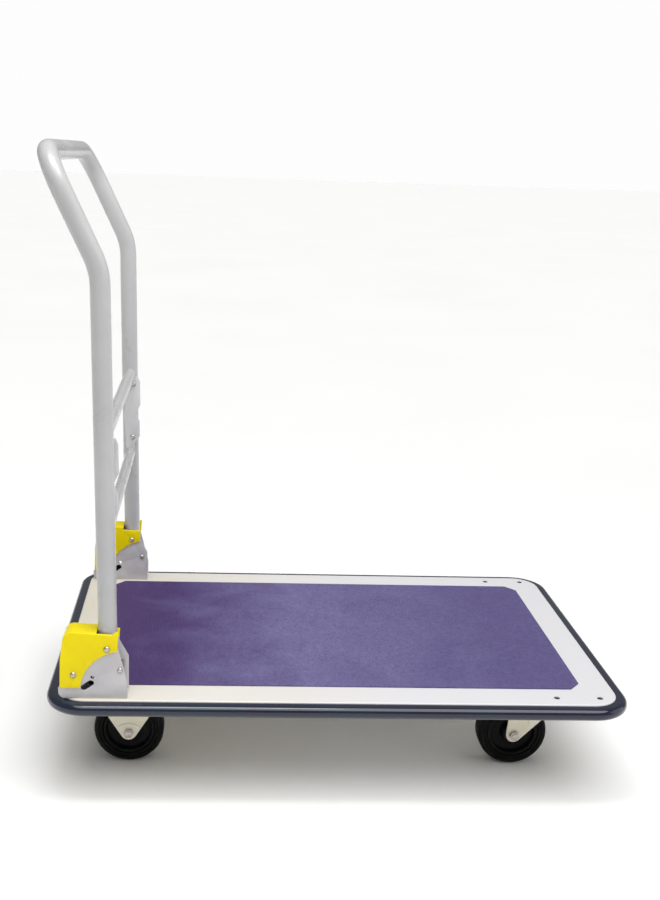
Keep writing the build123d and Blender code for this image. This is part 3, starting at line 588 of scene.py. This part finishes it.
def buildWeldedBar(node, inset, curved, spec):
    low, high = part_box(node)
    middle = (low + high) / 2
    radius = (high.x - low.x) / 2
    wall = spec["tubeRadius"] * mm if curved else 0.0
    bm = bmesh.new()
    addBar(bm, low, high, radius, wall)
    for side in (-1, 1):
        end = high.y if side > 0 else low.y
        addBead(bm, Vector((middle.x, end - side * inset * mm, middle.z)), radius, side, spec, wall)
    return finishPiece(node + ".welded", bm, node, smoothAngle=40.0, replaced=[node])


buildWeldedBar("upper_crossbar", 3.6, True, weldShape)
buildWeldedBar("release_bar", 0.6, False, weldShape)


# weld nuts under the four open holes at the free end

weldNuts = {"places": ((297.4, 222.35), (297.4, -222.35), (357.7, 222.35), (357.7, -222.35)),
            "topZ": 144.3, "heightMm": 5.5, "radius": 8.0, "easeMm": 0.6}


def buildWeldNuts(spec):
    bm = bmesh.new()
    for x, y in spec["places"]:
        nut = bmesh.ops.create_cone(bm, cap_ends=True, segments=6, radius1=spec["radius"] * mm,
                                    radius2=spec["radius"] * mm, depth=spec["heightMm"] * mm)["verts"]
        bmesh.ops.translate(bm, verts=nut, vec=(x * mm, y * mm, (spec["topZ"] - spec["heightMm"] / 2) * mm))
    easedEdges(bm, spec["easeMm"], 32)
    return finishPiece("free_end_weld_nuts", bm, "deck_tray", slotName="black_oxide",
                       body=bodyOf["deck_tray"])


buildWeldNuts(weldNuts)
print("welds and weld nuts added")


cameraView = {
    # metres and radians: where the viewer stands, and how the head is turned
    "place": (-0.17917, -1.63195, 0.84938), "yaw": 0.053, "pitch": 0.2881, "roll": 0.0341,
    "lensMm": 45.83, "shiftX": 0.0649, "shiftY": 0.0483}


def makeCamera(view):
    forward = Vector((math.sin(view["yaw"]) * math.cos(view["pitch"]),
                      math.cos(view["yaw"]) * math.cos(view["pitch"]), -math.sin(view["pitch"])))
    level = Vector((math.cos(view["yaw"]), -math.sin(view["yaw"]), 0))
    upright = level.cross(forward)
    right = math.cos(view["roll"]) * level + math.sin(view["roll"]) * upright
    top = -math.sin(view["roll"]) * level + math.cos(view["roll"]) * upright
    lens = bpy.data.cameras.new("viewer")
    lens.lens = view["lensMm"]
    lens.sensor_width = 36.0
    lens.shift_x = view["shiftX"]
    lens.shift_y = view["shiftY"]
    lens.clip_start, lens.clip_end = 0.01, 100.0
    camera = bpy.data.objects.new("viewer", lens)
    turn = Matrix((right, top, -forward)).transposed()
    camera.matrix_world = Matrix.Translation(view["place"]) @ turn.to_4x4()
    bpy.context.scene.collection.objects.link(camera)
    bpy.context.scene.camera = camera


makeCamera(cameraView)

studio = {
    "skyLight": 0.28, "skySeen": 0.985, "skyColour": "#FFFFFF", "floorHalf": 40.0,
    # soft suns light the whole floor evenly: where from, strength, softness in degrees
    "suns": {"highSun": ((0.12, -0.26, 1.0), 2.45, 60.0), "sideSun": ((1.0, -0.1, 0.3), 0.45, 50.0)},
    # long softbox overhead, for the bright grip and the line of light on the bumper's handle half:
    # place, aim, width, depth in metres, watts
    "softboxes": {"overheadSoftbox": ((-0.2, -0.34, 1.5), (-0.2, -0.24, 0.14), 0.7, 0.14, 4.0)}}


def addLamp(name, kind, place, aim, **settings):
    lamp = bpy.data.lights.new(name, kind)
    for setting, value in settings.items():
        setattr(lamp, setting, value)
    holder = bpy.data.objects.new(name, lamp)
    holder.location = place
    holder.rotation_euler = (Vector(aim) - Vector(place)).to_track_quat("-Z", "Y").to_euler()
    bpy.context.scene.collection.objects.link(holder)


def makeStudio(spec):
    # the lens sees a paler sky than the one that lights the truck, so the backdrop stays even
    world = bpy.data.worlds.new("studioSky")
    world.use_nodes = True
    tree = world.node_tree
    sky = tree.nodes["Background"]
    sky.inputs["Color"].default_value = hexColour(spec["skyColour"])
    ray = addNode(tree, "ShaderNodeLightPath").outputs["Is Camera Ray"]
    level = addNode(tree, "ShaderNodeMapRange", {
        "Value": ray, "To Min": spec["skyLight"], "To Max": spec["skySeen"]})
    tree.links.new(level.outputs["Result"], sky.inputs["Strength"])
    bpy.context.scene.world = world
    bpy.context.scene.view_settings.view_transform = "Standard"
    for name, (place, strength, softness) in spec["suns"].items():
        addLamp(name, "SUN", place, (0, 0, 0), energy=strength, angle=math.radians(softness))
    for name, (place, aim, width, depth, watts) in spec["softboxes"].items():
        addLamp(name, "AREA", place, aim, energy=watts, shape="RECTANGLE", size=width, size_y=depth)
    bm = bmesh.new()
    bmesh.ops.create_grid(bm, x_segments=1, y_segments=1, size=spec["floorHalf"])
    mesh = bpy.data.meshes.new("studioFloor")
    bm.to_mesh(mesh)
    bm.free()
    floor = bpy.data.objects.new("studioFloor", mesh)
    bpy.context.scene.collection.objects.link(floor)
    mesh.materials.append(surfaceFinish("palePaintedFloor", {
        "tones": ("#F9F9F8", "#FAFAF9", "#FBFBFA"), "driftMm": 900, "grainMm": 6, "fleck": 0.01,
        "roughness": (0.7, 0.8), "skinMm": 8, "skinDepthMm": 0.1, "bump": 0.05}))


makeStudio(studio)
print("studio ready")
